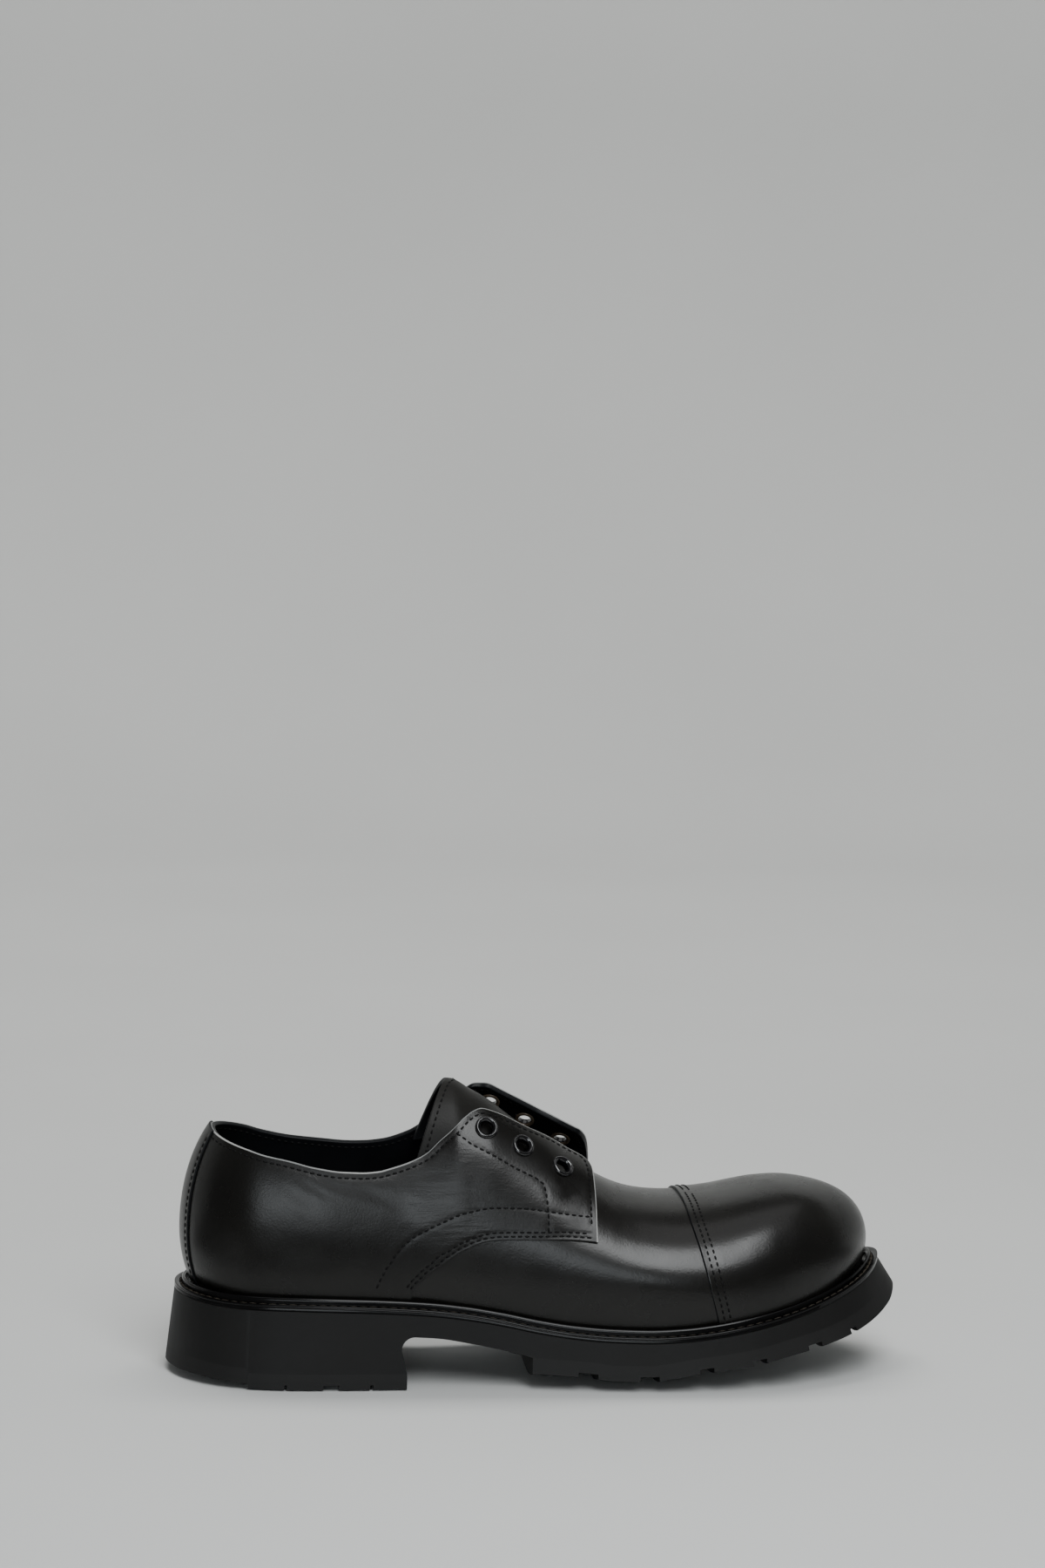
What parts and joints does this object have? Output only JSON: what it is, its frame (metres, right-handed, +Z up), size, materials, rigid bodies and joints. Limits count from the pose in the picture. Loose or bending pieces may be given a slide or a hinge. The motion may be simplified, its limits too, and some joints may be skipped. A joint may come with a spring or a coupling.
{
  "type": "derby shoe",
  "caption": "Right derby shoe with no laces: capped toe, open eyelet flaps over a tongue, stitched welt and a lugged rubber sole with a block heel.",
  "frame": {"origin": "on the floor under the heel tread's middle lug", "axes": "+X from heel to toe, +Y to the inner side of the foot, +Z up"},
  "size_m": [0.3139, 0.111, 0.1248],
  "materials": {
    "upper_leather": "smooth black box leather, satin",
    "tongue_leather": "soft black leather, matte",
    "insole_leather": "dark lining leather, matte",
    "cork": "matte cork, hidden",
    "welt_rubber": "black, satin edge",
    "sole_rubber": "matte black rubber",
    "eyelet_metal": "glossy black enamel"
  },
  "bodies": {
    "root": {"upper": "upper_leather", "tongue": "tongue_leather", "welt": "welt_rubber", "insole": "insole_leather", "filler": "cork", "outsole": "sole_rubber", "heel_tread": "sole_rubber", "forefoot_tread": "sole_rubber", "eyelet_outer_1": "eyelet_metal", "eyelet_outer_2": "eyelet_metal", "eyelet_outer_3": "eyelet_metal", "eyelet_inner_1": "eyelet_metal", "eyelet_inner_2": "eyelet_metal", "eyelet_inner_3": "eyelet_metal"}
  },
  "joints": []
}
